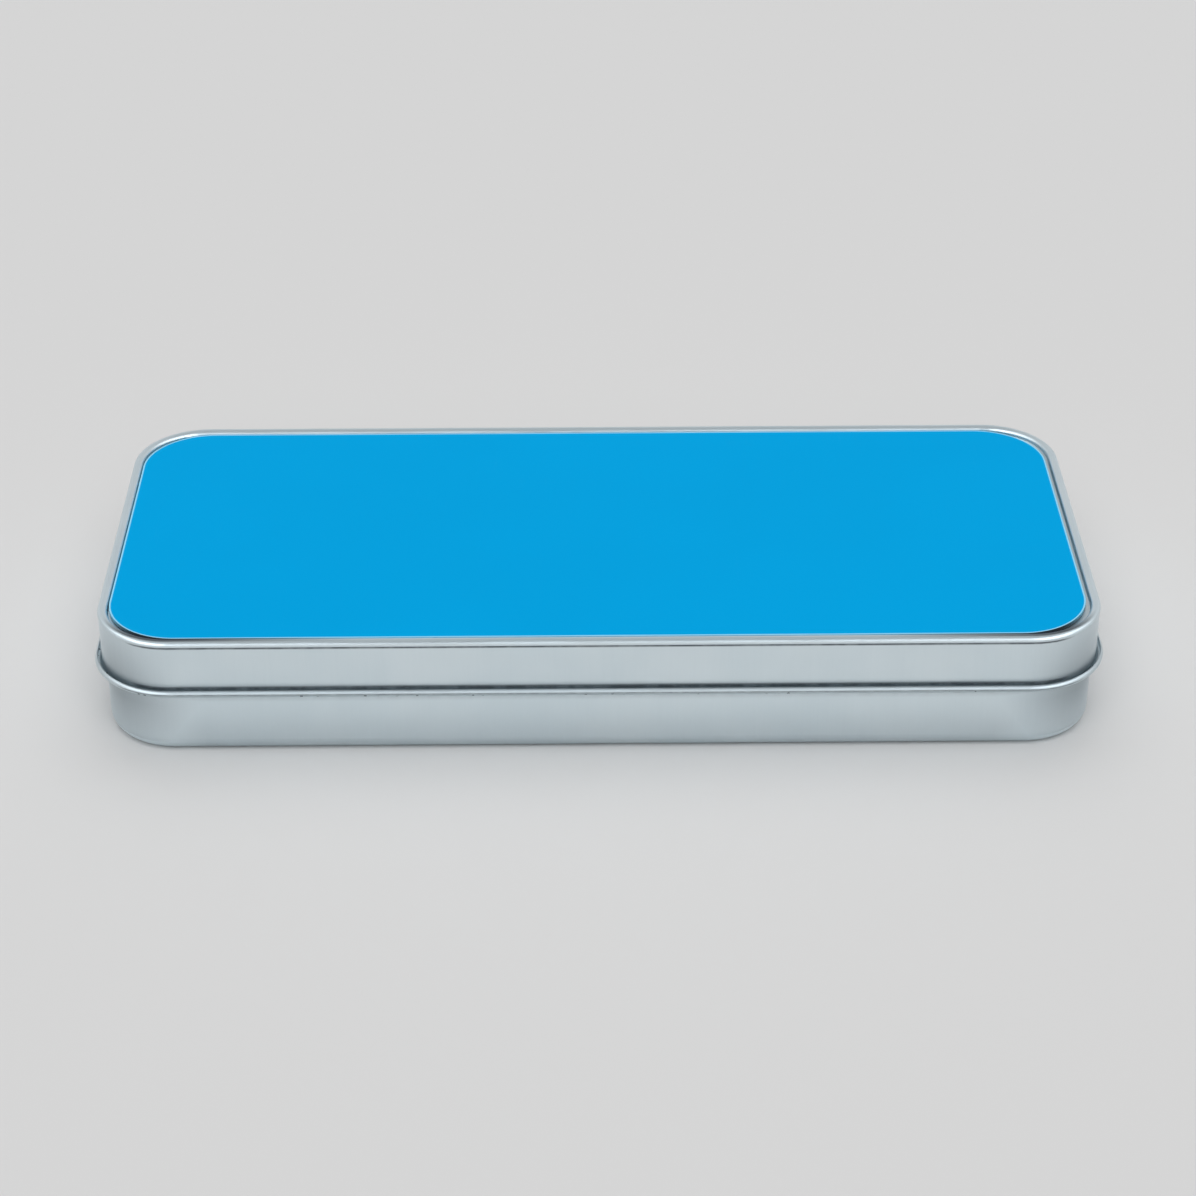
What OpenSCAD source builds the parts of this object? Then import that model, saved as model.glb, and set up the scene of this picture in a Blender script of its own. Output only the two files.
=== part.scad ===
// Coloured pencil tin: a drawn tinplate base, a hinged lid with a rolled edge and a
// printed plate in its recess, and two trays of hexagonal coloured pencils inside.
// Millimetres. The origin is the middle of the footprint on the ground, +X runs along
// the tin, the hinge is at +Y and +Z is up.

/* [Pencils] */
// Length of a sharpened pencil
pencil_len = 172; // [150:1:185]
// Width of a pencil across its flats
pencil_flat = 6.8; // [6:0.1:7.6]
// Gap between pencils that lie side by side
pencil_gap = 0.2; // [0.1:0.05:0.5]
// Length of the sharpened cone
point_len = 18; // [14:0.5:24]
// How far the corners of the hexagon are rounded off
corner_cut = 0.15; // [0.05:0.05:0.3]
// Diameter of the coloured lead
lead_d = 3.2; // [2.6:0.1:3.8]
// Diameter of the blunt tip of the lead
tip_d = 0.7; // [0.4:0.1:1.2]

/* [Trays] */
// Wall of the moulded trays
tray_t = 0.4; // [0.3:0.05:0.6]
// Height at which a tray's side wall starts, above the bottom of its grooves
skirt_z = 1.6; // [1.4:0.1:1.8]
// Width of the flat land past the pencil points
tip_land = 6.7; // [6.2:0.1:12]
// How far the blunt pencil ends reach past the start of the corners
end_past = 1.7; // [0.5:0.1:1.9]
// Step from the lands down from the bottom of the tray above
land_drop = 0.6; // [0.4:0.1:1.2]
// Radius of the finger notches in the lands
notch_r = 6; // [4:0.25:6.2]
// Free gap between a tray and the folded edge of the base
tray_gap = 0.15; // [0.1:0.05:0.5]

/* [Tinplate] */
// Thickness of the tinplate
sheet_t = 0.25; // [0.2:0.01:0.3]
// Plan radius of the lid wall at the corners
corner_r = 14.7; // [12:0.1:17]

/* [Base] */
// Radius of the bottom edge
bottom_r = 3; // [2.2:0.1:3.4]
// Width of the flat ring that the tin stands on
foot_w = 5; // [3:0.25:6]
// Rise of the floor inside that ring
floor_lift = 0.6; // [0.3:0.05:0.8]
// Height of the base edge above the rim of the upper tray
base_rise = 1.7; // [1:0.1:3]
// Height of the edge that is folded flat inwards
hem_h = 2.2; // [1.6:0.1:2.6]
// Height of the base edge above the hinge axis
neck_h = 6.6; // [6:0.1:7.6]

/* [Lid] */
// Gap between the base wall and the lid wall
lid_gap = 0.6; // [0.45:0.05:0.9]
// Height between the upper pencils and the lid panel
head_room = 6.1; // [5:0.1:12]
// Outer radius of the rolled lower edge
curl_r = 0.8; // [0.7:0.02:0.9]
// Angle at which the rolled edge ends, from the outward direction
curl_end = 65; // [60:1:115]
// Outer radius of the bead round the top
bead_r = 0.95; // [0.85:0.01:1.2]
// How far the bead stands out past the wall
bead_out = 0.1; // [0.05:0.01:0.2]
// Depth of the recess in the top, from the crest of the bead
recess_h = 1.38; // [1.3:0.02:2.4]
// Radius in the corner of the recess
recess_r = 0.25; // [0.1:0.05:0.4]

/* [Plate] */
// Thickness of the printed plate
plate_t = 0.7; // [0.3:0.05:0.9]
// Gap between the plate and the bead, when the plate is central
plate_gap = 0.5; // [0.45:0.05:1.2]
// How far the plate is glued to the right of the middle; less than 0 is to the left
plate_off = -0.3; // [-0.35:0.05:0.35]
// Extra roundness of the plate corners over the corners of the recess
plate_round = 1.5; // [0:0.1:4]
// Thickness of the double-sided adhesive sheet
adhesive_t = 0.15; // [0.1:0.01:0.3]
// Distance from the plate's edge to the adhesive sheet
adhesive_inset = 1; // [0.5:0.1:4]

/* [Hinge] */
// Distance from the end wall of the lid to the middle of each hinge
hinge_inset = 41; // [39:1:55]
// Width of each tongue of the base
tongue_w = 14; // [8:0.5:20]
// Gap at each side of a tongue
tongue_gap = 0.4; // [0.3:0.05:0.8]
// Length of wire that the lid's rolled edge holds on each side of a tongue
pin_grip = 10; // [6:0.5:14]
// Running clearance of the hinge wire
pin_clear = 0.05; // [0.02:0.01:0.1]
// Radius inside the bend at the root of a tongue
root_r = 0.2; // [0.1:0.05:0.3]
// Angle at which a tongue's curl ends, from the outward direction
tongue_end = 200; // [180:1:205]
// Gap above a tongue in the lid wall
notch_gap = 0.4; // [0.3:0.05:1]

/* [Hidden] */
$fn = 96;
eps = 0.01;

// Names and lacquer colours, the upper layer first, from the front of the tin to the back
COLOURS = [
    ["lemon", [0.96, 0.91, 0.26]], ["yellow", [0.98, 0.78, 0.08]],
    ["orange", [0.95, 0.45, 0.07]], ["red", [0.82, 0.10, 0.10]],
    ["pink", [0.93, 0.42, 0.60]], ["purple", [0.45, 0.18, 0.55]],
    ["blue", [0.07, 0.23, 0.62]], ["sky_blue", [0.25, 0.62, 0.88]],
    ["light_green", [0.47, 0.75, 0.22]], ["dark_green", [0.04, 0.38, 0.20]],
    ["brown", [0.38, 0.20, 0.10]], ["black", [0.05, 0.05, 0.06]],
    ["white", [0.93, 0.93, 0.90]], ["cream", [0.95, 0.86, 0.68]],
    ["ochre", [0.78, 0.55, 0.16]], ["coral", [0.94, 0.44, 0.35]],
    ["crimson", [0.62, 0.04, 0.18]], ["magenta", [0.78, 0.10, 0.47]],
    ["violet", [0.30, 0.20, 0.62]], ["navy", [0.05, 0.10, 0.32]],
    ["turquoise", [0.05, 0.62, 0.62]], ["olive", [0.42, 0.45, 0.13]],
    ["umber", [0.27, 0.18, 0.12]], ["grey", [0.48, 0.49, 0.50]],
];
layers = 2;
per_layer = len(COLOURS) / layers;

tinplate = [0.72, 0.75, 0.77];
print_blue = [0.00, 0.63, 0.87];
tray_white = [0.90, 0.90, 0.88];

// Fits between pieces that rest on one another
seat_gap = 0.05;   // under a pencil, under a tray
side_gap = 0.1;    // between the outermost groove and the tray wall
end_gap = 0.4;     // at each end of a pencil
lead_gap = 0.02;   // round the lead in its casing
floor_inset = 0.7; // of the groove floor under the tray wall, to clear the bottom edge

// Pencils and grooves: a pencil lies with one corner down in a groove of the same slope
groove_slope = 30;
pitch = pencil_flat + pencil_gap;
pencil_r = pencil_flat / 2 / cos(30);
ridge_h = pitch / 2 * tan(groove_slope);
groove_t = tray_t / cos(groove_slope);
pencil_z = groove_t + seat_gap + pencil_r;
layer_h = groove_t + 2 * seat_gap + 2 * pencil_r;
lead_r = lead_d / 2;
point_slope = (pencil_r - tip_d / 2) / point_len;

// Half sizes in plan, from the pencils outwards
tray_half_d = per_layer * pitch / 2 + side_gap + tray_t;
wall_stack = tray_gap + 2 * sheet_t;
tray_r = corner_r - sheet_t - lid_gap - wall_stack;
tray_half_w = (tray_r - end_past + pencil_len + end_gap + tray_t + tip_land) / 2;
base_half_d = tray_half_d + wall_stack;
base_half_w = tray_half_w + wall_stack;
base_r = tray_r + wall_stack;
lid_half_d = base_half_d + lid_gap + sheet_t;
lid_half_w = base_half_w + lid_gap + sheet_t;
blunt_x = tray_r - end_past - tray_half_w;
point_x = blunt_x + pencil_len;

// Heights
floor_z = sheet_t + floor_lift;
lower_z = floor_z + seat_gap;
upper_z = lower_z + layer_h;
rim_z = skirt_z + layer_h - seat_gap;
land_z = layer_h - land_drop;
base_h = upper_z + rim_z + base_rise;
seam_z = base_h - neck_h;
panel_z = upper_z + pencil_z + pencil_r + head_room + sheet_t;
bead_z = panel_z + recess_h - bead_r;

// Lid section, as offsets outwards from the wall's outer face
curl_u = curl_r - sheet_t;
bead_u = bead_out - bead_r;
bead_in = bead_u - bead_r;

// Hinge
hinge_x = lid_half_w - hinge_inset;
hinge_y = lid_half_d + curl_u;
hinge_u = hinge_y - base_half_d;
root_z = seam_z - curl_r - root_r;
wire_r = curl_r - sheet_t - pin_clear;
wire_len = tongue_w + 2 * (tongue_gap + pin_grip);
window_h = 5.1;

// Ring of a round bar's section between two angles
module arc_band(r, t, from, to) {
    steps = ceil((to - from) / 40);
    intersection() {
        difference() {
            circle(r);
            circle(r - t);
        }
        polygon(concat([[0, 0]], [for (i = [0:steps])
            let (a = from + (to - from) * i / steps) 2 * r * [cos(a), sin(a)]]));
    }
}

module box2(from, to) translate(from) square(to - from);

module rounded_outline(half_w, half_d, r) {
    square([2 * half_w, 2 * (half_d - r)], center = true);
    square([2 * (half_w - r), 2 * half_d], center = true);
    for (x = [-1, 1], y = [-1, 1]) translate([x * (half_w - r), y * (half_d - r)]) circle(r);
}

module rounded_slab(half_w, half_d, r, z, h) {
    translate([0, 0, z]) linear_extrude(h) rounded_outline(half_w, half_d, r);
}

// Carries a section round a rounded rectangle: its x is the offset outwards from the
// outline, its y the height
module around(half_w, half_d, r) {
    for (turn = [0:3]) {
        odd = turn % 2;
        reach = odd ? half_w : half_d;
        run = odd ? half_d - r : half_w - r;
        rotate(turn * 90) {
            translate([-run, reach, 0]) rotate([90, 0, 90]) linear_extrude(2 * run) children();
            translate([run, reach - r, 0]) rotate_extrude(angle = 90) translate([r, 0]) children();
        }
    }
}

module base_section() {
    box2([-sheet_t, bottom_r], [0, base_h - sheet_t]);
    box2([-2 * sheet_t, base_h - hem_h], [-sheet_t, base_h - sheet_t]);
    translate([-sheet_t, base_h - sheet_t]) intersection() {
        circle(sheet_t);
        box2([-sheet_t, 0], [sheet_t, sheet_t]);
    }
    translate([-bottom_r, bottom_r]) arc_band(bottom_r, sheet_t, -90, 0);
    foot_u = -bottom_r - foot_w;
    box2([foot_u, 0], [-bottom_r, sheet_t]);
    polygon([[foot_u, 0], [foot_u, sheet_t], [foot_u - floor_lift, floor_z],
             [foot_u - floor_lift, floor_lift]]);
}

// Tongue of the base, bent out of the back wall and rolled round the hinge wire
module tongue_section() {
    translate([root_r, root_z]) arc_band(root_r + sheet_t, sheet_t, 90, 180);
    box2([root_r, seam_z - curl_r], [hinge_u, seam_z - curl_r + sheet_t]);
    translate([hinge_u, seam_z]) arc_band(curl_r, sheet_t, -90, tongue_end);
}

module base() color(tinplate) {
    inset = bottom_r + foot_w + floor_lift;
    difference() {
        union() {
            around(base_half_w, base_half_d, base_r) base_section();
            rounded_slab(base_half_w - inset, base_half_d - inset, base_r - inset,
                         floor_lift, sheet_t);
        }
        for (side = [-1, 1])
            translate([side * hinge_x - tongue_w / 2, base_half_d - sheet_t - eps, root_z])
                cube([tongue_w, sheet_t + 2 * eps, window_h]);
    }
    for (side = [-1, 1])
        translate([side * hinge_x - tongue_w / 2, base_half_d, 0])
            rotate([90, 0, 90]) linear_extrude(tongue_w) tongue_section();
}

module lid_section() {
    translate([curl_u, seam_z]) arc_band(curl_r, sheet_t, -180, curl_end);
    difference() {
        union() {
            box2([bead_in, seam_z], [0, bead_z]);
            translate([bead_u, bead_z]) circle(bead_r);
        }
        translate([bead_u, bead_z]) circle(bead_r - sheet_t);
        box2([bead_in + sheet_t, seam_z - eps], [-sheet_t, bead_z]);
        box2([bead_in - eps, seam_z - eps], [-sheet_t, panel_z + recess_r]);
    }
    translate([bead_in - recess_r, panel_z + recess_r])
        arc_band(recess_r + sheet_t, sheet_t, -90, 0);
}

module lid() color(tinplate) {
    inset = recess_r - bead_in;
    notch_w = tongue_w + 2 * tongue_gap;
    difference() {
        union() {
            around(lid_half_w, lid_half_d, corner_r) lid_section();
            rounded_slab(lid_half_w - inset, lid_half_d - inset, corner_r - inset,
                         panel_z - sheet_t, sheet_t);
        }
        for (side = [-1, 1])
            translate([side * hinge_x - notch_w / 2, lid_half_d - sheet_t - eps,
                       seam_z - curl_r - eps])
                cube([notch_w, 2 * curl_r + 2 * eps, 2 * curl_r + notch_gap + eps]);
    }
}

module hinge_wire(side) color([0.6, 0.6, 0.62])
    translate([side * hinge_x - wire_len / 2, hinge_y, seam_z])
        rotate([0, 90, 0]) cylinder(r = wire_r, h = wire_len);

module plate_slab(inset, z, h) {
    edge = plate_gap - bead_in + inset;
    translate([plate_off, 0, 0])
        rounded_slab(lid_half_w - edge, lid_half_d - edge, corner_r - edge + plate_round, z, h);
}

module lid_plate() color(print_blue) plate_slab(0, panel_z + adhesive_t, plate_t);

module adhesive_sheet() color([0.85, 0.85, 0.8]) plate_slab(adhesive_inset, panel_z, adhesive_t);

// Floor of a tray, folded into one groove for each pencil
module grooves() {
    edge = per_layer * pitch / 2;
    outer = edge + side_gap + tray_t / 2;
    tops = [for (i = [0:2 * per_layer])
        [i * pitch / 2 - edge, i % 2 == 0 ? ridge_h : 0]];
    line = concat([[-outer, ridge_h]], tops, [[outer, ridge_h]]);
    last = len(line) - 1;
    from_x = blunt_x - end_gap - tray_t;
    to_x = point_x + end_gap + tray_t;
    translate([from_x, 0, 0]) rotate([90, 0, 90]) linear_extrude(to_x - from_x)
        polygon(concat(line, [for (i = [last:-1:0]) line[i] + [0, groove_t]]));
}

module tray() {
    inner_w = tray_half_w - tray_t;
    inner_d = tray_half_d - tray_t;
    inner_r = tray_r - tray_t;
    bulkheads = [blunt_x - end_gap - tray_t, point_x + end_gap];
    difference() {
        union() {
            difference() {
                rounded_slab(tray_half_w, tray_half_d, tray_r, skirt_z, rim_z - skirt_z);
                rounded_slab(inner_w, inner_d, inner_r, skirt_z - eps,
                             rim_z - skirt_z + 2 * eps);
            }
            intersection() {
                union() {
                    rounded_slab(inner_w - floor_inset, inner_d - floor_inset,
                                 inner_r - floor_inset, 0, skirt_z);
                    rounded_slab(tray_half_w - tray_t / 2, tray_half_d - tray_t / 2,
                                 tray_r - tray_t / 2, skirt_z, rim_z - skirt_z);
                }
                union() {
                    grooves();
                    for (x = bulkheads)
                        translate([x, -tray_half_d, 0]) cube([tray_t, 2 * tray_half_d, land_z]);
                    difference() {
                        translate([-tray_half_w, -tray_half_d, land_z - tray_t])
                            cube([2 * tray_half_w, 2 * tray_half_d, tray_t]);
                        translate([bulkheads[0] + tray_t, -tray_half_d - eps,
                                   land_z - tray_t - eps])
                            cube([bulkheads[1] - bulkheads[0] - tray_t,
                                  2 * (tray_half_d + eps), tray_t + 2 * eps]);
                    }
                }
            }
        }
        for (side = [-1, 1])
            translate([side * tray_half_w, 0, land_z - tray_t - eps])
                cylinder(r = notch_r, h = rim_z - land_z + tray_t + 2 * eps);
    }
}

module lower_tray() color(tray_white) translate([0, 0, lower_z]) tray();
module upper_tray() color(tray_white) translate([0, 0, upper_z]) tray();

// Puts a pencil, modelled along +Z from its blunt end, into its groove
module in_groove(i) {
    layer = floor(i / per_layer);
    place = i % per_layer;
    z = (layer == 0 ? upper_z : lower_z) + pencil_z;
    translate([blunt_x, (place - (per_layer - 1) / 2) * pitch, z]) rotate([0, 90, 0]) children();
}

// Distance from the blunt end at which the sharpened cone has the given radius
function cone_z(r) = pencil_len - (r - tip_d / 2) / point_slope;

module pencil_casing(i) color(COLOURS[i][1]) in_groove(i) {
    barrel_r = pencil_r - corner_cut;
    intersection() {
        cylinder(r = pencil_r, h = pencil_len, $fn = 6);
        rotate_extrude() polygon([[lead_r, 0], [barrel_r, 0], [barrel_r, cone_z(barrel_r)],
                                  [lead_r, cone_z(lead_r)]]);
    }
}

module pencil_lead(i) color(COLOURS[i][1] * 0.92) in_groove(i) {
    r = lead_r - lead_gap;
    rotate_extrude() polygon([[0, 0], [r, 0], [r, cone_z(r)], [tip_d / 2, pencil_len],
                              [0, pencil_len]]);
}

base();
lid();
hinge_wire(-1);  // hinge_wire_left
hinge_wire(1);  // hinge_wire_right
lid_plate();
adhesive_sheet();
lower_tray();
upper_tray();
for (i = [0:len(COLOURS) - 1]) {
    pencil_casing(i);
    pencil_lead(i);
}
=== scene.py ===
import math

import bmesh
import bpy
from mathutils import Matrix, Vector


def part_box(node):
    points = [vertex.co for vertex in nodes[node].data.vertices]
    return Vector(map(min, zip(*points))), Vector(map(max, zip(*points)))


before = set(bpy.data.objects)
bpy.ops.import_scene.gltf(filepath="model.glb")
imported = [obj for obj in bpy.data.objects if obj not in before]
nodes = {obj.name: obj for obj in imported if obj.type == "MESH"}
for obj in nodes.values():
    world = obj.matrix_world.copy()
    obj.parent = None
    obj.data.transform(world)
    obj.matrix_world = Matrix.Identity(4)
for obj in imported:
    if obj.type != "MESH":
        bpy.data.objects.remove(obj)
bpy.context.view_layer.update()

mm = 0.001


# Small helpers for node trees

def linear(red, green, blue):
    # a colour picked on screen (0-255) as the linear values that shaders want
    return tuple((c / 255 / 12.92) if c <= 10 else ((c / 255 + 0.055) / 1.055) ** 2.4
                 for c in (red, green, blue)) + (1.0,)


def darker(colour, share):
    return tuple(c * share for c in colour[:3]) + (1.0,)


def feed(tree, socket, value):
    # another node's output is linked, anything else becomes the socket's own value
    if isinstance(value, bpy.types.NodeSocket):
        tree.links.new(value, socket)
    else:
        socket.default_value = value


def put(tree, kind, settings=None, **sockets):
    node = tree.nodes.new(kind)
    for name, value in (settings or {}).items():
        setattr(node, name, value)
    for name, value in sockets.items():
        feed(tree, node.inputs[name.replace("_", " ")], value)
    return node


def calc(tree, operation, a, b=0.0, c=0.0, clamp=False):
    node = put(tree, "ShaderNodeMath", {"operation": operation, "use_clamp": clamp})
    for socket, value in zip(node.inputs, (a, b, c)):
        feed(tree, socket, value)
    return node.outputs[0]


def times(tree, product, *others):
    for value in others:
        product = calc(tree, "MULTIPLY", product, value)
    return product


def vectorCalc(tree, operation, a, b):
    node = put(tree, "ShaderNodeVectorMath", {"operation": operation})
    for socket, value in zip(node.inputs, (a, b)):
        feed(tree, socket, value)
    return node.outputs[0]


def remap(tree, value, fromMin, fromMax, toMin=0.0, toMax=1.0, smooth=True):
    node = put(tree, "ShaderNodeMapRange",
               {"interpolation_type": "SMOOTHSTEP" if smooth else "LINEAR"},
               Value=value, From_Min=fromMin, From_Max=fromMax, To_Min=toMin, To_Max=toMax)
    return node.outputs[0]


def blendColour(tree, factor, a, b):
    node = put(tree, "ShaderNodeMix", {"data_type": "RGBA"})
    for index, value in ((0, factor), (6, a), (7, b)):
        feed(tree, node.inputs[index], value)
    return node.outputs[2]


def blendValue(tree, factor, a, b):
    node = put(tree, "ShaderNodeMix", {"data_type": "FLOAT"})
    for index, value in ((0, factor), (2, a), (3, b)):
        feed(tree, node.inputs[index], value)
    return node.outputs[0]


def newGroup(name, inputs, outputs):
    tree = bpy.data.node_groups.new(name, "ShaderNodeTree")
    for socketName, kind, value in inputs:
        socket = tree.interface.new_socket(socketName, in_out="INPUT", socket_type=kind)
        if value is not None:
            socket.default_value = value
    for socketName, kind in outputs:
        tree.interface.new_socket(socketName, in_out="OUTPUT", socket_type=kind)
    return tree, tree.nodes.new("NodeGroupInput").outputs, tree.nodes.new("NodeGroupOutput").inputs


def useGroup(tree, group, **sockets):
    return put(tree, "ShaderNodeGroup", {"node_tree": group}, **sockets).outputs


def newMaterial(name):
    material = bpy.data.materials.new(name)
    material.use_nodes = True
    tree = material.node_tree
    shader = tree.nodes["Principled BSDF"]
    place = tree.nodes.new("ShaderNodeTexCoord").outputs["Object"]
    return material, tree, shader, place


def setShader(tree, shader, **sockets):
    for name, value in sockets.items():
        feed(tree, shader.inputs[name.replace("_", " ")], value)


def bump(tree, shader, height, strength, distance):
    node = put(tree, "ShaderNodeBump", Strength=strength, Distance=distance, Height=height)
    tree.links.new(node.outputs["Normal"], shader.inputs["Normal"])


def wear(nodeName, material):
    mesh = nodes[nodeName].data
    mesh.materials.clear()
    mesh.materials.append(material)


# Effects that several finishes share. The edges are the values between which a mask fades in

effects = {
    "patchEdges": (0.32, 0.68),
    "breakScale": 420.0,             # how finely a band of grime is broken up
    "breakEdges": (0.35, 0.7),
    # the next four place the painted shade in the gap round the plate
    "shadeFromMiddle": (0.45, 0.9),   # these four are shares of half the plate's width or depth
    "shadeInFront": (-0.76, -0.96),
    "shadeAtRight": (0.6, 0.95),
    "shadeToBack": (0.86, 0.66),
    "hairlines": (                   # an angle and a stretch for each direction
        (0.5, (40.0, 2600.0, 900.0)),
        (-0.9, (2200.0, 55.0, 900.0)),
    ),
    "hairlineEdges": (0.68, 0.76),
    "rubScale": 70.0,
    "rubEdges": (0.45, 0.65),
}


def makeGrain():
    # rolling lines of sheet metal, or streaks of any kind: stretch sets their direction
    tree, given, out = newGroup(
        "grain",
        [("Vector", "NodeSocketVector", None), ("Stretch", "NodeSocketVector", (1.0, 1.0, 1.0)),
         ("Detail", "NodeSocketFloat", 3.0)],
        [("Height", "NodeSocketFloat")])
    scaled = vectorCalc(tree, "MULTIPLY", given["Vector"], given["Stretch"])
    noise = put(tree, "ShaderNodeTexNoise", Vector=scaled, Scale=1.0, Detail=given["Detail"],
                Roughness=0.6)
    tree.links.new(noise.outputs["Fac"], out["Height"])
    return tree


def makeClouds():
    # broad, soft patches left by handling and by the rolling mill
    tree, given, out = newGroup(
        "clouds",
        [("Vector", "NodeSocketVector", None), ("Scale", "NodeSocketFloat", 60.0)],
        [("Mask", "NodeSocketFloat")])
    wide = put(tree, "ShaderNodeTexNoise", Vector=given["Vector"], Scale=given["Scale"],
               Detail=2.0, Roughness=0.5)
    tree.links.new(remap(tree, wide.outputs["Fac"], *effects["patchEdges"]), out["Mask"])
    return tree


def makeSeamGrimeAndShade():
    # a band at one height for grime and for painted shade, broken up along its length
    tree, given, out = newGroup(
        "seamGrimeAndShade",
        [("Vector", "NodeSocketVector", None), ("Level", "NodeSocketFloat", 0.01),
         ("Above", "NodeSocketFloat", 0.001), ("Below", "NodeSocketFloat", 0.001),
         ("Uneven", "NodeSocketFloat", 0.3)],
        [("Mask", "NodeSocketFloat")])
    height = put(tree, "ShaderNodeSeparateXYZ", Vector=given["Vector"]).outputs["Z"]
    offset = calc(tree, "SUBTRACT", height, given["Level"])
    up = calc(tree, "DIVIDE", offset, given["Above"])
    down = calc(tree, "DIVIDE", offset, times(tree, given["Below"], -1.0))
    band = calc(tree, "SUBTRACT", 1.0, calc(tree, "MAXIMUM", up, down), clamp=True)
    smooth = remap(tree, band, 0.0, 1.0)
    breaks = put(tree, "ShaderNodeTexNoise", Vector=given["Vector"], Scale=effects["breakScale"],
                 Detail=3.0).outputs["Fac"]
    missing = times(tree, given["Uneven"], remap(tree, breaks, *effects["breakEdges"]))
    amount = calc(tree, "SUBTRACT", 1.0, missing)
    tree.links.new(calc(tree, "MULTIPLY", smooth, amount, clamp=True), out["Mask"])
    return tree


def makeOutline():
    # distance outwards from a rounded rectangle round the origin, and a value that rises to 1 in
    # the middle of its corners
    tree, given, out = newGroup(
        "outline",
        [("Vector", "NodeSocketVector", None), ("Half Width", "NodeSocketFloat", 0.1),
         ("Half Depth", "NodeSocketFloat", 0.05), ("Radius", "NodeSocketFloat", 0.01)],
        [("Distance", "NodeSocketFloat"), ("Corner", "NodeSocketFloat")])
    axes = put(tree, "ShaderNodeSeparateXYZ", Vector=given["Vector"]).outputs
    past = [calc(tree, "SUBTRACT", calc(tree, "ABSOLUTE", axes[axis]),
                 calc(tree, "SUBTRACT", given[half], given["Radius"]))
            for axis, half in (("X", "Half Width"), ("Y", "Half Depth"))]
    corner = [calc(tree, "MAXIMUM", value, 0.0) for value in past]
    squares = calc(tree, "MULTIPLY_ADD", corner[0], corner[0], times(tree, corner[1], corner[1]))
    inner = calc(tree, "MINIMUM", calc(tree, "MAXIMUM", *past), 0.0)
    total = calc(tree, "ADD", calc(tree, "SQRT", squares), inner)
    tree.links.new(calc(tree, "SUBTRACT", total, given["Radius"]), out["Distance"])
    notZero = calc(tree, "MAXIMUM", squares, 1e-12)
    tree.links.new(calc(tree, "DIVIDE", times(tree, *corner, 2.0), notZero), out["Corner"])
    return tree


def makeGapShade():
    # painted shade in the gap round the plate: thick at the front corners, more so at the left
    # one, thin along the right-hand end and none elsewhere
    tree, given, out = newGroup(
        "gapShade",
        [("Vector", "NodeSocketVector", None), ("Half Width", "NodeSocketFloat", 0.09),
         ("Half Depth", "NodeSocketFloat", 0.04), ("Thin", "NodeSocketFloat", 0.3),
         ("Shift", "NodeSocketFloat", 0.03)],
        [("Mask", "NodeSocketFloat"), ("Front", "NodeSocketFloat")])
    axes = put(tree, "ShaderNodeSeparateXYZ", Vector=given["Vector"]).outputs
    across = calc(tree, "DIVIDE", axes["X"], given["Half Width"])
    back = calc(tree, "DIVIDE", axes["Y"], given["Half Depth"])
    fromMiddle = calc(tree, "ABSOLUTE", calc(tree, "SUBTRACT", across, given["Shift"]))
    front = times(tree, remap(tree, fromMiddle, *effects["shadeFromMiddle"]),
                  remap(tree, back, *effects["shadeInFront"]))
    right = times(tree, remap(tree, back, *effects["shadeToBack"]), given["Thin"],
                  remap(tree, across, *effects["shadeAtRight"]))
    tree.links.new(front, out["Front"])
    tree.links.new(calc(tree, "MAXIMUM", front, right), out["Mask"])
    return tree


def makeSpecks():
    # sparse small marks: nicks in the tin, crumbs of pigment, pores in a film
    tree, given, out = newGroup(
        "specks",
        [("Vector", "NodeSocketVector", None), ("Scale", "NodeSocketFloat", 200.0),
         ("Size", "NodeSocketFloat", 0.1), ("Share", "NodeSocketFloat", 0.2)],
        [("Mask", "NodeSocketFloat")])
    cells = put(tree, "ShaderNodeTexVoronoi", Vector=given["Vector"], Scale=given["Scale"]).outputs
    spot = calc(tree, "LESS_THAN", cells["Distance"], given["Size"])
    lot = put(tree, "ShaderNodeSeparateColor", Color=cells["Color"]).outputs["Red"]
    chosen = calc(tree, "LESS_THAN", lot, given["Share"])
    tree.links.new(times(tree, spot, chosen), out["Mask"])
    return tree


def makeScratches():
    # hairlines in two crossing directions, only where the surface has been rubbed
    tree, given, out = newGroup(
        "scratches",
        [("Vector", "NodeSocketVector", None), ("Scale", "NodeSocketFloat", 1.0)],
        [("Mask", "NodeSocketFloat")])
    lines = []
    for angle, stretch in effects["hairlines"]:
        turned = put(tree, "ShaderNodeMapping", Vector=given["Vector"], Rotation=(0.0, 0.0, angle),
                     Scale=stretch).outputs[0]
        scaled = put(tree, "ShaderNodeVectorMath", {"operation": "SCALE"}, Vector=turned,
                     Scale=given["Scale"]).outputs[0]
        noise = put(tree, "ShaderNodeTexNoise", Vector=scaled, Scale=1.0, Detail=1.0)
        lines.append(remap(tree, noise.outputs["Fac"], *effects["hairlineEdges"]))
    rubbed = put(tree, "ShaderNodeTexNoise", Vector=given["Vector"], Scale=effects["rubScale"],
                 Detail=1.0).outputs["Fac"]
    rubbed = remap(tree, rubbed, *effects["rubEdges"])
    tree.links.new(times(tree, calc(tree, "MAXIMUM", *lines), rubbed), out["Mask"])
    return tree


grain = makeGrain()
clouds = makeClouds()
seamGrimeAndShade = makeSeamGrimeAndShade()
outline = makeOutline()
gapShade = makeGapShade()
specks = makeSpecks()
scratches = makeScratches()
print("shared effects made")


# Tinplate of the lid and the base

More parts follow.
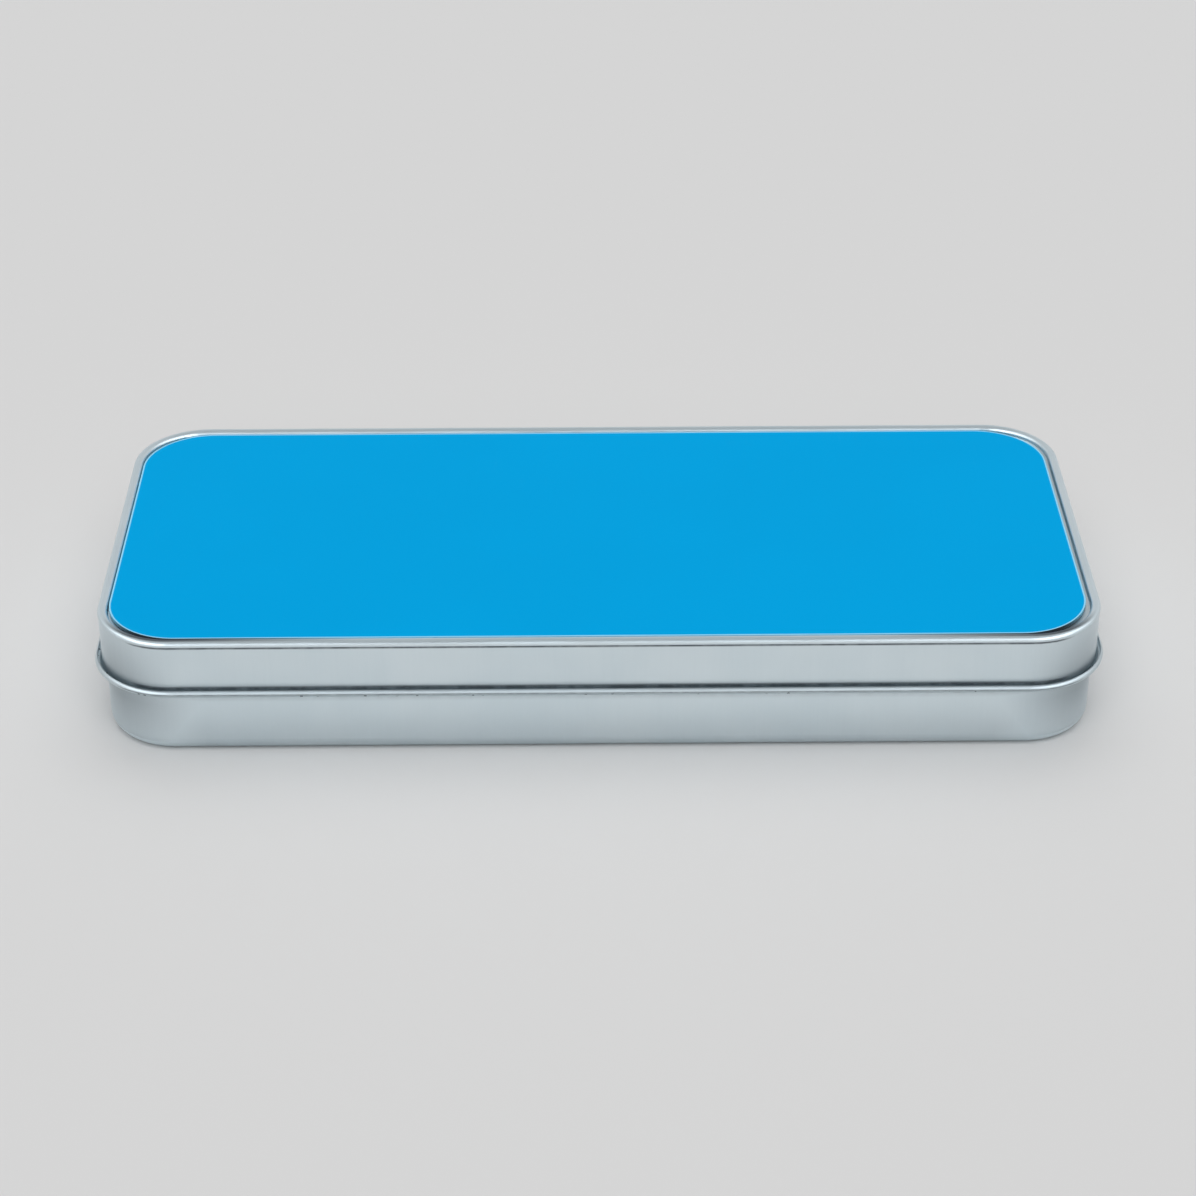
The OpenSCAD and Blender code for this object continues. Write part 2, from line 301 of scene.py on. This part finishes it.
tin = {
    "bright": (0.755, 0.842, 0.88, 1.0),
    "dullAndCornerShade": (0.682, 0.774, 0.816, 1.0),
    # dark colour for grime and for painted shade in the slot, the creases, the corners and the gap
    "grimeAndShade": (0.045, 0.055, 0.07, 1.0),
    "roughness": (0.38, 0.3),        # of the dull and of the bright metal
    "grimeAndShadeRoughness": 0.25,          # added where the grime and the painted shade lie
    "grainSize": 0.6 * mm,           # width of the grain that runs up the walls
    "grainUp": 60.0,                 # its scale along the walls' height
    "grainShare": 0.35,              # of the metal's tone, the rest is in its patches
    "grainBump": 0.12,
    "grainDepth": 0.03 * mm,
    "patchScale": 45.0,
    "cornerShadePower": 1.8,                # how steeply the painted corner shade rises to a corner's middle
    "skin": 0.12 * mm,               # points this close to the outline lie on the wall
}
# Heights and sizes are in mm. reach is how far the rolled edge stands out past the wall, corner is
# the wall's radius, and round a corner the wall is darkened by painted shade, with rougher metal.
# Each band is painted shade. A band can lie on the wall only, or leave out the corners, or lose the
# share "fade" round the corners, between two distances inwards from the long walls. In the gap
# round the plate painted shade lies on the bead's inner flank and on the floor past the bead, at
# distances from the wall
slotFade = {"fadeFrom": 1.0, "fadeTo": 4.0, "fade": 1.0}
tinWalls = {
    "lid": {
        "reach": 1.35, "corner": 14.7,
        # painted shade round the lid's corners, strongest towards its bottom
        "cornerShadeRadius": 18.0, "dullAndCornerShade": 0.46, "cornerShadeFrom": 29.0, "cornerShadeTo": 15.5,
        # painted shade: the dark slot above the rolled edge, the top of the rolled edge, a line
        # round its outermost edge and the line under the bead
        "bands": [
            {"level": 15.0, "above": 0.7, "below": 0.8, "uneven": 0.25, "strength": 0.84,
             "wallOnly": True, **slotFade},
            {"level": 15.2, "above": 0.5, "below": 0.38, "uneven": 0.15, "strength": 0.85,
             **slotFade},
            {"level": 14.35, "above": 0.3, "below": 0.35, "uneven": 0.25, "strength": 0.7,
             **slotFade},
            {"level": 24.05, "above": 0.35, "below": 0.42, "uneven": 0.2, "strength": 0.97,
             "wallOnly": True, "fadeFrom": 0.6, "fadeTo": 3.2, "fade": 0.95},
        ],
        "roll": 0.22,                # grime all over the rolled edge
        "nicks": {"level": 13.95, "above": 0.3, "below": 0.35, "edges": (0.05, 0.3),
                  "scale": 560.0, "size": 0.17, "share": 0.9, "strength": 0.85},
        # painted shade in the gap round the plate
        "gap": {"above": 23.95, "to": 3.8, "crest": 0.28, "flank": 0.68, "flankShade": 0.85,
                "bead": 1.7, "floor": 1.95, "floorShade": 0.6},
    },
    "base": {
        "reach": 0.0, "corner": 13.85,
        # painted shade round the base's corners, strongest just under the lid's rolled edge
        "cornerShadeRadius": 20.0, "dullAndCornerShade": 0.5, "cornerShadeFrom": -3.0, "cornerShadeTo": 10.5,
        "bands": [
            # painted shade: the straight walls darker towards the bottom, and a band under the
            # lid's rolled edge
            {"level": 1.0, "above": 10.5, "below": 2.0, "uneven": 0.05, "strength": 0.23,
             "straightOnly": True},
            {"level": 13.0, "above": 0.6, "below": 1.7, "uneven": 0.35, "strength": 0.3},
        ],
    },
}


# a band of painted shade at one height
def paintedShadeBand(tree, place, band, onWall, corner, inFromLong):
    mask = useGroup(tree, seamGrimeAndShade, Vector=place, Level=band["level"] * mm,
                    Above=band["above"] * mm, Below=band["below"] * mm,
                    Uneven=band["uneven"])["Mask"]
    mask = times(tree, mask, band["strength"])
    if band.get("wallOnly"):
        mask = times(tree, mask, onWall)
    if "fade" in band:
        kept = remap(tree, inFromLong, band["fadeFrom"] * mm, band["fadeTo"] * mm,
                     1.0, 1.0 - band["fade"])
        mask = times(tree, mask, kept)
    if band.get("straightOnly"):
        mask = times(tree, mask, calc(tree, "SUBTRACT", 1.0, corner))
    return mask


def nickGrime(tree, place, nicks):
    marks = useGroup(tree, specks, Vector=place, Scale=nicks["scale"], Size=nicks["size"],
                     Share=nicks["share"])["Mask"]
    zone = useGroup(tree, seamGrimeAndShade, Vector=place, Level=nicks["level"] * mm,
                    Above=nicks["above"] * mm, Below=nicks["below"] * mm, Uneven=0.0)["Mask"]
    return times(tree, marks, remap(tree, zone, *nicks["edges"]), nicks["strength"])


# painted shade in the gap round the plate, on the bead's inner flank and on the floor past the bead
def paintedGapShade(tree, place, gap, sizes, height, distance):
    inGap = times(tree, calc(tree, "GREATER_THAN", distance, -gap["to"] * mm),
                  calc(tree, "GREATER_THAN", height, gap["above"] * mm))
    shadeInGap = useGroup(tree, gapShade, Vector=place, **sizes)
    onFloor = remap(tree, distance, -gap["bead"] * mm, -gap["floor"] * mm, 0.0, gap["floorShade"])
    onFlank = remap(tree, distance, -gap["crest"] * mm, -gap["flank"] * mm, 0.0, gap["flankShade"])
    shadeAndGrime = calc(tree, "MAXIMUM", times(tree, shadeInGap["Mask"], onFloor),
                times(tree, shadeInGap["Front"], onFlank))
    return times(tree, inGap, shadeAndGrime)


def tinFinish(nodeName, wall):
    material, tree, shader, place = newMaterial("tinplate" + nodeName.capitalize())
    low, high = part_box(nodeName)
    sizes = {"Half_Width": high.x - wall["reach"] * mm, "Half_Depth": -low.y - wall["reach"] * mm}
    across = 1.0 / tin["grainSize"]
    axes = put(tree, "ShaderNodeSeparateXYZ", Vector=place).outputs
    height = axes["Z"]
    inFromLong = calc(tree, "SUBTRACT", sizes["Half_Depth"], calc(tree, "ABSOLUTE", axes["Y"]))
    lines = useGroup(tree, grain, Vector=place, Stretch=(across, across, tin["grainUp"]),
                     Detail=4.0)["Height"]
    patch = useGroup(tree, clouds, Vector=place, Scale=tin["patchScale"])["Mask"]
    tone = blendValue(tree, tin["grainShare"], patch, lines)
    distance = useGroup(tree, outline, Vector=place, Radius=wall["corner"] * mm,
                        **sizes)["Distance"]
    corner = useGroup(tree, outline, Vector=place, Radius=wall["cornerShadeRadius"] * mm,
                      **sizes)["Corner"]
    onWall = calc(tree, "LESS_THAN", calc(tree, "ABSOLUTE", distance), tin["skin"])
    # painted shade round the corners, then the bands of painted shade, grime on the rolled edge,
    # the nicks and the painted shade in the gap
    dullAndCornerShade = remap(tree, height, wall["cornerShadeFrom"] * mm, wall["cornerShadeTo"] * mm, 0.0, wall["dullAndCornerShade"],
                 smooth=False)
    shadeAndGrime = times(tree, calc(tree, "POWER", corner, tin["cornerShadePower"]), dullAndCornerShade, onWall)
    layers = [paintedShadeBand(tree, place, band, onWall, corner, inFromLong) for band in wall["bands"]]
    if "roll" in wall:
        layers.append(times(tree, calc(tree, "GREATER_THAN", distance, tin["skin"]), wall["roll"]))
    if "nicks" in wall:
        layers.append(nickGrime(tree, place, wall["nicks"]))
    if "gap" in wall:
        layers.append(paintedGapShade(tree, place, wall["gap"], sizes, height, distance))
    for layer in layers:
        shadeAndGrime = calc(tree, "MAXIMUM", shadeAndGrime, layer)
    colour = blendColour(tree, tone, tin["dullAndCornerShade"], tin["bright"])
    # the grime and the painted shade darken the metal
    colour = blendColour(tree, shadeAndGrime, colour, tin["grimeAndShade"])
    rough = remap(tree, tone, 0.0, 1.0, *tin["roughness"])
    rough = calc(tree, "MULTIPLY_ADD", shadeAndGrime, tin["grimeAndShadeRoughness"], rough)
    setShader(tree, shader, Base_Color=colour, Metallic=1.0, Roughness=rough)
    bump(tree, shader, lines, tin["grainBump"], tin["grainDepth"])
    return material


for name, wall in tinWalls.items():
    wear(name, tinFinish(name, wall))
print("tinplate done")


# Printed plate and its adhesive

plate = {
    "ink": linear(1, 161, 223),
    "inkDeep": 0.965,                # the ink's darker patches, as a share of its colour
    # painted highlight: a light line along the plate's cut edge and a thin strip of its top
    "edgeHighlight": linear(148, 212, 240),
    "edgeHighlightWidth": 0.32 * mm,
    "corner": 13.9 * mm,
    "back": (0.62, 0.64, 0.66, 1.0),
    # dark colour of the painted shade on the plate's rim, in the gap
    "shadeInGap": (0.05, 0.06, 0.075, 1.0),
    "roughness": 0.46,
    "mottleRoughness": 0.08,
    "rubRoughness": -0.12,           # rubbing leaves the ink smoother
    "specular": 0.015,
    "mottleStretch": (2400.0, 2400.0, 2400.0),
    "mottleBump": 0.05,
    "mottleDepth": 0.02 * mm,
    "patchScale": 24.0,
    "faceSkin": 0.02 * mm,           # points this close to the top, the back or the rim lie on it
    "rimSkin": 0.05 * mm,
}


def plateFinish():
    material, tree, shader, place = newMaterial("printedPlate")
    low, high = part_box("lid_plate")
    height = put(tree, "ShaderNodeSeparateXYZ", Vector=place).outputs["Z"]
    centred = vectorCalc(tree, "SUBTRACT", place, (low + high) / 2)
    sizes = {"Half_Width": (high.x - low.x) / 2, "Half_Depth": (high.y - low.y) / 2}
    distance = useGroup(tree, outline, Vector=centred, Radius=plate["corner"], **sizes)["Distance"]
    onTop = calc(tree, "GREATER_THAN", height, high.z - plate["faceSkin"])
    under = calc(tree, "LESS_THAN", height, low.z + plate["faceSkin"])
    onRim = calc(tree, "GREATER_THAN", distance, -plate["rimSkin"])
    printed = times(tree, onTop, calc(tree, "LESS_THAN", distance, -plate["edgeHighlightWidth"]))
    shadeInGap = useGroup(tree, gapShade, Vector=place, **sizes)["Mask"]
    mottle = useGroup(tree, grain, Vector=place, Stretch=plate["mottleStretch"],
                      Detail=3.0)["Height"]
    patch = useGroup(tree, clouds, Vector=place, Scale=plate["patchScale"])["Mask"]
    rubs = useGroup(tree, scratches, Vector=place, Scale=1.0)["Mask"]
    ink = blendColour(tree, blendValue(tree, 0.5, patch, mottle),
                      darker(plate["ink"], plate["inkDeep"]), plate["ink"])
    # the rim: a painted highlight line, darkened by painted shade where the gap is shaded
    bare = blendColour(tree, times(tree, shadeInGap, onRim), plate["edgeHighlight"], plate["shadeInGap"])
    bare = blendColour(tree, under, bare, plate["back"])
    rough = calc(tree, "MULTIPLY_ADD", mottle, plate["mottleRoughness"], plate["roughness"])
    rough = calc(tree, "MULTIPLY_ADD", rubs, plate["rubRoughness"], rough)
    setShader(tree, shader, Base_Color=blendColour(tree, printed, bare, ink), Metallic=under,
              Roughness=rough, Specular_IOR_Level=plate["specular"])
    bump(tree, shader, mottle, plate["mottleBump"], plate["mottleDepth"])
    return material


adhesive = {
    "light": (0.74, 0.72, 0.63, 1.0),
    "dark": (0.62, 0.60, 0.50, 1.0),
    "patchScale": 90.0,
    "roughness": 0.55,
    "patchRoughness": 0.2,
    "pore": (0.45, 0.43, 0.34, 1.0),
    "pores": {"Scale": 900.0, "Size": 0.3, "Share": 0.5},
    "poreStrength": 0.4,
    "poreBump": 0.2,
    "poreDepth": 0.02 * mm,
}


def adhesiveFinish():
    material, tree, shader, place = newMaterial("adhesiveFilm")
    pores = useGroup(tree, specks, Vector=place, **adhesive["pores"])["Mask"]
    patch = useGroup(tree, clouds, Vector=place, Scale=adhesive["patchScale"])["Mask"]
    colour = blendColour(tree, patch, adhesive["dark"], adhesive["light"])
    colour = blendColour(tree, times(tree, pores, adhesive["poreStrength"]), colour,
                         adhesive["pore"])
    rough = calc(tree, "MULTIPLY_ADD", patch, adhesive["patchRoughness"], adhesive["roughness"])
    setShader(tree, shader, Base_Color=colour, Roughness=rough)
    bump(tree, shader, pores, adhesive["poreBump"], adhesive["poreDepth"])
    return material


wear("lid_plate", plateFinish())
wear("adhesive_sheet", adhesiveFinish())
print("plate done")


# Hinge wires

wire = {
    "light": (0.66, 0.67, 0.68, 1.0),
    "dark": (0.45, 0.46, 0.47, 1.0),
    "patchScale": 300.0,
    "roughness": 0.2,
    "lineRoughness": 0.15,
    "lineStretch": (120.0, 9000.0, 9000.0),      # drawing lines run along the wire
    "lineBump": 0.2,
    "lineDepth": 0.01 * mm,
}


def wireFinish():
    material, tree, shader, place = newMaterial("drawnWire")
    lines = useGroup(tree, grain, Vector=place, Stretch=wire["lineStretch"], Detail=2.0)["Height"]
    patch = useGroup(tree, clouds, Vector=place, Scale=wire["patchScale"])["Mask"]
    colour = blendColour(tree, blendValue(tree, 0.5, lines, patch), wire["dark"], wire["light"])
    rough = calc(tree, "MULTIPLY_ADD", lines, wire["lineRoughness"], wire["roughness"])
    setShader(tree, shader, Base_Color=colour, Metallic=1.0, Roughness=rough)
    bump(tree, shader, lines, wire["lineBump"], wire["lineDepth"])
    return material


drawnWire = wireFinish()
for name in ("hinge_wire_left", "hinge_wire_right"):
    wear(name, drawnWire)
print("hinge wires done")


# Moulded trays

trayLook = {
    "white": (0.80, 0.80, 0.775, 1.0),
    "shade": (0.735, 0.735, 0.715, 1.0),
    "patchScale": 55.0,
    "roughness": 0.31,
    "skinRoughness": 0.14,
    "skinStretch": (1500.0, 1500.0, 1500.0),
    "skinBump": 0.12,
    "skinDepth": 0.04 * mm,
    "crumb": (0.30, 0.22, 0.20, 1.0),            # pigment rubbed off the pencils
    "crumbs": {"Scale": 700.0, "Size": 0.16, "Share": 0.12},
    "crumbStrength": 0.6,
}


def trayFinish():
    material, tree, shader, place = newMaterial("trayPlastic")
    patch = useGroup(tree, clouds, Vector=place, Scale=trayLook["patchScale"])["Mask"]
    skin = useGroup(tree, grain, Vector=place, Stretch=trayLook["skinStretch"],
                    Detail=2.0)["Height"]
    crumbs = useGroup(tree, specks, Vector=place, **trayLook["crumbs"])["Mask"]
    colour = blendColour(tree, patch, trayLook["shade"], trayLook["white"])
    colour = blendColour(tree, times(tree, crumbs, trayLook["crumbStrength"]), colour,
                         trayLook["crumb"])
    rough = calc(tree, "MULTIPLY_ADD", skin, trayLook["skinRoughness"], trayLook["roughness"])
    setShader(tree, shader, Base_Color=colour, Roughness=rough)
    bump(tree, shader, skin, trayLook["skinBump"], trayLook["skinDepth"])
    return material


trayPlastic = trayFinish()
for name in ("lower_tray", "upper_tray"):
    wear(name, trayPlastic)
print("trays done")


# Pencils

pencil = {
    "length": 172.0 * mm,
    "flat": 3.4 * mm,                # half the width across the flats
    "cornerRound": 0.15 * mm,
    "flatSkin": 0.012 * mm,          # a point this far inside a flat or a corner is bare wood
    "cornerSkin": 0.03 * mm,
    "woodLight": (0.66, 0.45, 0.27, 1.0),
    "woodDark": (0.47, 0.28, 0.15, 1.0),
    "woodRoughness": 0.65,
    "fibreStretch": (160.0, 3800.0, 3800.0),
    "rings": {"Scale": 260.0, "Distortion": 3.0, "Detail": 2.0, "Detail_Scale": 1.5},
    "ringShare": 0.45,               # of the wood's tone, the rest is in its fibre
    "lacquerDeep": 0.88,             # the lacquer's darker patches, as a share of its colour
    "lacquerPatch": 120.0,
    "lacquerRoughness": 0.22,
    "coat": 0.5,
    "coatRoughness": 0.12,
    "rubScale": 1.3,
    "rubColour": (0.8, 0.8, 0.8, 1.0),
    "rubStrength": 0.12,
    "rubRoughness": 0.2,
    "peelStretch": (500.0, 900.0, 900.0),
    "bump": 0.15,
    "bumpDepth": 0.05 * mm,
}
lead = {
    "deep": 0.72,                    # its darker parts, as a share of its colour
    "roughness": 0.42,
    "waxRoughness": 0.2,
    "waxScale": 500.0,
    "turnedStretch": (9000.0, 350.0, 350.0),     # the sharpener's marks go round the point
    "turnedBump": 0.3,
    "turnedDepth": 0.03 * mm,
}
lacquers = {
    "lemon": (245, 232, 66), "yellow": (250, 199, 20), "orange": (242, 115, 18),
    "red": (209, 26, 26), "pink": (237, 107, 153), "purple": (115, 46, 140),
    "blue": (18, 59, 158), "sky_blue": (64, 158, 224), "light_green": (120, 191, 56),
    "dark_green": (10, 97, 51), "brown": (97, 51, 26), "black": (20, 20, 22),
    "white": (237, 237, 230), "cream": (242, 219, 173), "ochre": (199, 140, 41),
    "coral": (240, 112, 89), "crimson": (158, 10, 46), "magenta": (199, 26, 120),
    "violet": (77, 51, 158), "navy": (13, 26, 82), "turquoise": (13, 158, 158),
    "olive": (107, 115, 33), "umber": (69, 46, 31), "grey": (122, 125, 128),
}


def makeSharpened():
    # 1 where a hexagonal pencil is cut bare: inside its flats and rounded corners, and on its end.
    # Vector is centred on the pencil's axis, with x = 0 at the tip and a corner of the hexagon down
    tree, given, out = newGroup(
        "sharpened",
        [("Vector", "NodeSocketVector", None), ("Flat", "NodeSocketFloat", 0.0034),
         ("Corner", "NodeSocketFloat", 0.0038), ("Length", "NodeSocketFloat", 0.17)],
        [("Mask", "NodeSocketFloat")])
    axes = put(tree, "ShaderNodeSeparateXYZ", Vector=given["Vector"]).outputs
    widest = 0.0
    for turn in (0.0, 60.0, 120.0):
        side = times(tree, axes["Y"], math.cos(math.radians(turn)))
        side = calc(tree, "MULTIPLY_ADD", axes["Z"], math.sin(math.radians(turn)), side)
        widest = calc(tree, "MAXIMUM", calc(tree, "ABSOLUTE", side), widest)
    section = vectorCalc(tree, "MULTIPLY", given["Vector"], (0.0, 1.0, 1.0))
    radius = put(tree, "ShaderNodeVectorMath", {"operation": "LENGTH"}, Vector=section)
    insideFlats = calc(tree, "LESS_THAN", widest,
                       calc(tree, "SUBTRACT", given["Flat"], pencil["flatSkin"]))
    insideCorners = calc(tree, "LESS_THAN", radius.outputs["Value"],
                         calc(tree, "SUBTRACT", given["Corner"], pencil["cornerSkin"]))
    onEnd = calc(tree, "LESS_THAN", axes["X"],
                 calc(tree, "SUBTRACT", pencil["cornerSkin"], given["Length"]))
    cut = times(tree, insideFlats, insideCorners)
    tree.links.new(calc(tree, "MAXIMUM", cut, onEnd), out["Mask"])
    return tree


def makePencilWood():
    # cedar, cut round into a cone: growth lines run along the pencil
    tree, given, out = newGroup(
        "pencilWood",
        [("Vector", "NodeSocketVector", None), ("Light", "NodeSocketColor", (1, 1, 1, 1)),
         ("Dark", "NodeSocketColor", (0, 0, 0, 1))],
        [("Color", "NodeSocketColor"), ("Height", "NodeSocketFloat")])
    fibre = useGroup(tree, grain, Vector=given["Vector"], Stretch=pencil["fibreStretch"],
                     Detail=4.0)["Height"]
    rings = put(tree, "ShaderNodeTexWave", {"wave_type": "BANDS", "bands_direction": "Y"},
                Vector=given["Vector"], **pencil["rings"])
    tone = blendValue(tree, pencil["ringShare"], fibre, rings.outputs["Fac"])
    tree.links.new(blendColour(tree, tone, given["Dark"], given["Light"]), out["Color"])
    tree.links.new(fibre, out["Height"])
    return tree


sharpened = makeSharpened()
pencilWood = makePencilWood()


def centredOn(tree, place, nodeName):
    # object coordinates moved so that x = 0 is the tip and the axis is the x axis
    low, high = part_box(nodeName)
    return put(tree, "ShaderNodeMapping", Vector=place,
               Location=(-high.x, -(low.y + high.y) / 2, -(low.z + high.z) / 2)).outputs[0]


def casingFinish(name, colour):
    material, tree, shader, place = newMaterial(name + "Casing")
    local = centredOn(tree, place, name + "_pencil_lead")
    corner = pencil["flat"] / math.cos(math.radians(30.0)) - pencil["cornerRound"]
    cut = useGroup(tree, sharpened, Vector=local, Flat=pencil["flat"], Corner=corner,
                   Length=pencil["length"])["Mask"]
    wood = useGroup(tree, pencilWood, Vector=place, Light=pencil["woodLight"],
                    Dark=pencil["woodDark"])
    patch = useGroup(tree, clouds, Vector=place, Scale=pencil["lacquerPatch"])["Mask"]
    peel = useGroup(tree, grain, Vector=place, Stretch=pencil["peelStretch"],
                    Detail=2.0)["Height"]
    rubs = useGroup(tree, scratches, Vector=place, Scale=pencil["rubScale"])["Mask"]
    paint = linear(*colour)
    lacquer = blendColour(tree, patch, darker(paint, pencil["lacquerDeep"]), paint)
    lacquer = blendColour(tree, times(tree, rubs, pencil["rubStrength"]), lacquer,
                          pencil["rubColour"])
    rough = calc(tree, "MULTIPLY_ADD", rubs, pencil["rubRoughness"], pencil["lacquerRoughness"])
    setShader(tree, shader,
              Base_Color=blendColour(tree, cut, lacquer, wood["Color"]),
              Roughness=blendValue(tree, cut, rough, pencil["woodRoughness"]),
              Coat_Weight=blendValue(tree, cut, pencil["coat"], 0.0),
              Coat_Roughness=pencil["coatRoughness"])
    bump(tree, shader, blendValue(tree, cut, peel, wood["Height"]), pencil["bump"],
         pencil["bumpDepth"])
    return material


def leadFinish(name, colour):
    material, tree, shader, place = newMaterial(name + "Lead")
    local = centredOn(tree, place, name + "_pencil_lead")
    turned = useGroup(tree, grain, Vector=local, Stretch=lead["turnedStretch"],
                      Detail=2.0)["Height"]
    waxy = useGroup(tree, clouds, Vector=place, Scale=lead["waxScale"])["Mask"]
    pigment = linear(*colour)
    tone = blendValue(tree, 0.5, turned, waxy)
    rough = calc(tree, "MULTIPLY_ADD", waxy, lead["waxRoughness"], lead["roughness"])
    setShader(tree, shader, Roughness=rough,
              Base_Color=blendColour(tree, tone, darker(pigment, lead["deep"]), pigment))
    bump(tree, shader, turned, lead["turnedBump"], lead["turnedDepth"])
    return material


for name, colour in lacquers.items():
    wear(name + "_pencil_casing", casingFinish(name, colour))
    wear(name + "_pencil_lead", leadFinish(name, colour))
print("pencils done")


# Floor, light and camera

stage = {
    "floorSize": 6.0,
    "floorColour": linear(213, 213, 213),
    "floorRoughness": 0.85,
    "fleckRoughness": 0.1,
    "fleckStretch": (700.0, 700.0, 700.0),
    "skyLevel": 1.4,                 # overhead softbox, brightest straight above
    "skySpread": 3.0,
    "lamps": [                       # each lamp's turn, height and width in degrees, and its share
        ("frontLamp", 0.0, 48.0, 60.0, 0.31),
        ("backLamp", 180.0, 48.0, 60.0, 0.13),
    ],
}
# What the metal mirrors: a room with a darker panel in front and a bright one at either side, whose
# cores are brighter still. An edge has an axis of the mirrored direction, the value at which the
# panel begins to show and the value from which it shows fully. Sideways is the same left and right
room = {
    "walls": (0.66, 0.67, 0.68, 1.0),
    "ceiling": (0.48, 0.49, 0.50, 1.0),
    "ceilingEdge": ("Z", 0.55, 0.9),
    "front": (0.2, 0.207, 0.214, 1.0),
    "frontEdges": (("Y", -0.2, -0.45), ("Z", 0.93, 0.8), ("Z", 0.0, 0.12)),
    "sides": (2.0, 2.06, 2.12, 1.0),
    "sideCores": (2.80, 2.88, 2.97, 1.0),
    "coreEdge": ("Sideways", 0.62, 0.4),
    "sideEdges": (("Sideways", 0.12, 0.3), ("Sideways", 1.0, 0.82), ("Z", 0.8, 0.55),
                  ("Y", 0.32, 0.05), ("Z", -0.03, 0.08)),
}
view = {
    "aim": (0.04 * mm, 3.8 * mm, 6.25 * mm),
    "distance": 0.6194,
    "elevation": 30.705,
    "turn": -0.615,
    "roll": -0.056,
    "lens": 90.36,
    "sensor": 36.0,
}


def makeFloor():
    mesh = bpy.data.meshes.new("floor")
    shape = bmesh.new()
    bmesh.ops.create_grid(shape, x_segments=1, y_segments=1, size=stage["floorSize"] / 2)
    shape.to_mesh(mesh)
    shape.free()
    floor = bpy.data.objects.new("floor", mesh)
    bpy.context.scene.collection.objects.link(floor)
    material, tree, shader, place = newMaterial("paperFloor")
    fleck = useGroup(tree, grain, Vector=place, Stretch=stage["fleckStretch"],
                     Detail=2.0)["Height"]
    rough = calc(tree, "MULTIPLY_ADD", fleck, stage["fleckRoughness"], stage["floorRoughness"])
    setShader(tree, shader, Base_Color=stage["floorColour"], Specular_IOR_Level=0.0,
              Roughness=rough)
    mesh.materials.append(material)


def makeWorld():
    world = bpy.data.worlds.new("studio")
    world.use_nodes = True
    bpy.context.scene.world = world
    tree = world.node_tree
    direction = tree.nodes.new("ShaderNodeTexCoord").outputs["Generated"]
    axes = dict(put(tree, "ShaderNodeSeparateXYZ", Vector=direction).outputs.items())
    axes["Sideways"] = calc(tree, "ABSOLUTE", axes["X"])

    def within(*edges):
        return times(tree, *(remap(tree, axes[axis], start, full) for axis, start, full in edges))

    overhead = calc(tree, "POWER", calc(tree, "MAXIMUM", axes["Z"], 0.0), stage["skySpread"])
    sky = times(tree, overhead, stage["skyLevel"])
    skyColour = put(tree, "ShaderNodeCombineColor", Red=sky, Green=sky, Blue=sky).outputs[0]
    around = blendColour(tree, within(room["ceilingEdge"]), room["walls"], room["ceiling"])
    around = blendColour(tree, within(*room["frontEdges"]), around, room["front"])
    panels = blendColour(tree, within(room["coreEdge"]), room["sides"], room["sideCores"])
    around = blendColour(tree, within(*room["sideEdges"]), around, panels)
    rays = tree.nodes.new("ShaderNodeLightPath").outputs
    mirrored = blendColour(tree, rays["Is Glossy Ray"], skyColour, around)
    seen = blendColour(tree, rays["Is Camera Ray"], mirrored, stage["floorColour"])
    tree.links.new(seen, tree.nodes["Background"].inputs["Color"])


def makeLamps():
    for name, turn, height, width, share in stage["lamps"]:
        light = bpy.data.lights.new(name, "SUN")
        light.angle = math.radians(width)
        light.energy = math.pi * share / math.sin(math.radians(height))
        lamp = bpy.data.objects.new(name, light)
        lamp.rotation_euler = (math.radians(90.0 - height), 0.0, math.radians(turn))
        lamp.visible_glossy = False
        bpy.context.scene.collection.objects.link(lamp)


def makeCamera():
    lens = bpy.data.cameras.new("camera")
    lens.lens = view["lens"]
    lens.sensor_width = view["sensor"]
    camera = bpy.data.objects.new("camera", lens)
    turn = Matrix.Rotation(math.radians(view["turn"]), 4, "Z")
    tip = Matrix.Rotation(math.radians(90.0 - view["elevation"]), 4, "X")
    roll = Matrix.Rotation(math.radians(view["roll"]), 4, "Z")
    camera.matrix_world = (Matrix.Translation(Vector(view["aim"])) @ turn @ tip @ roll
                           @ Matrix.Translation((0.0, 0.0, view["distance"])))
    bpy.context.scene.collection.objects.link(camera)
    bpy.context.scene.camera = camera


makeFloor()
makeWorld()
makeLamps()
makeCamera()
bpy.context.scene.view_settings.view_transform = "Standard"
print("stage ready")
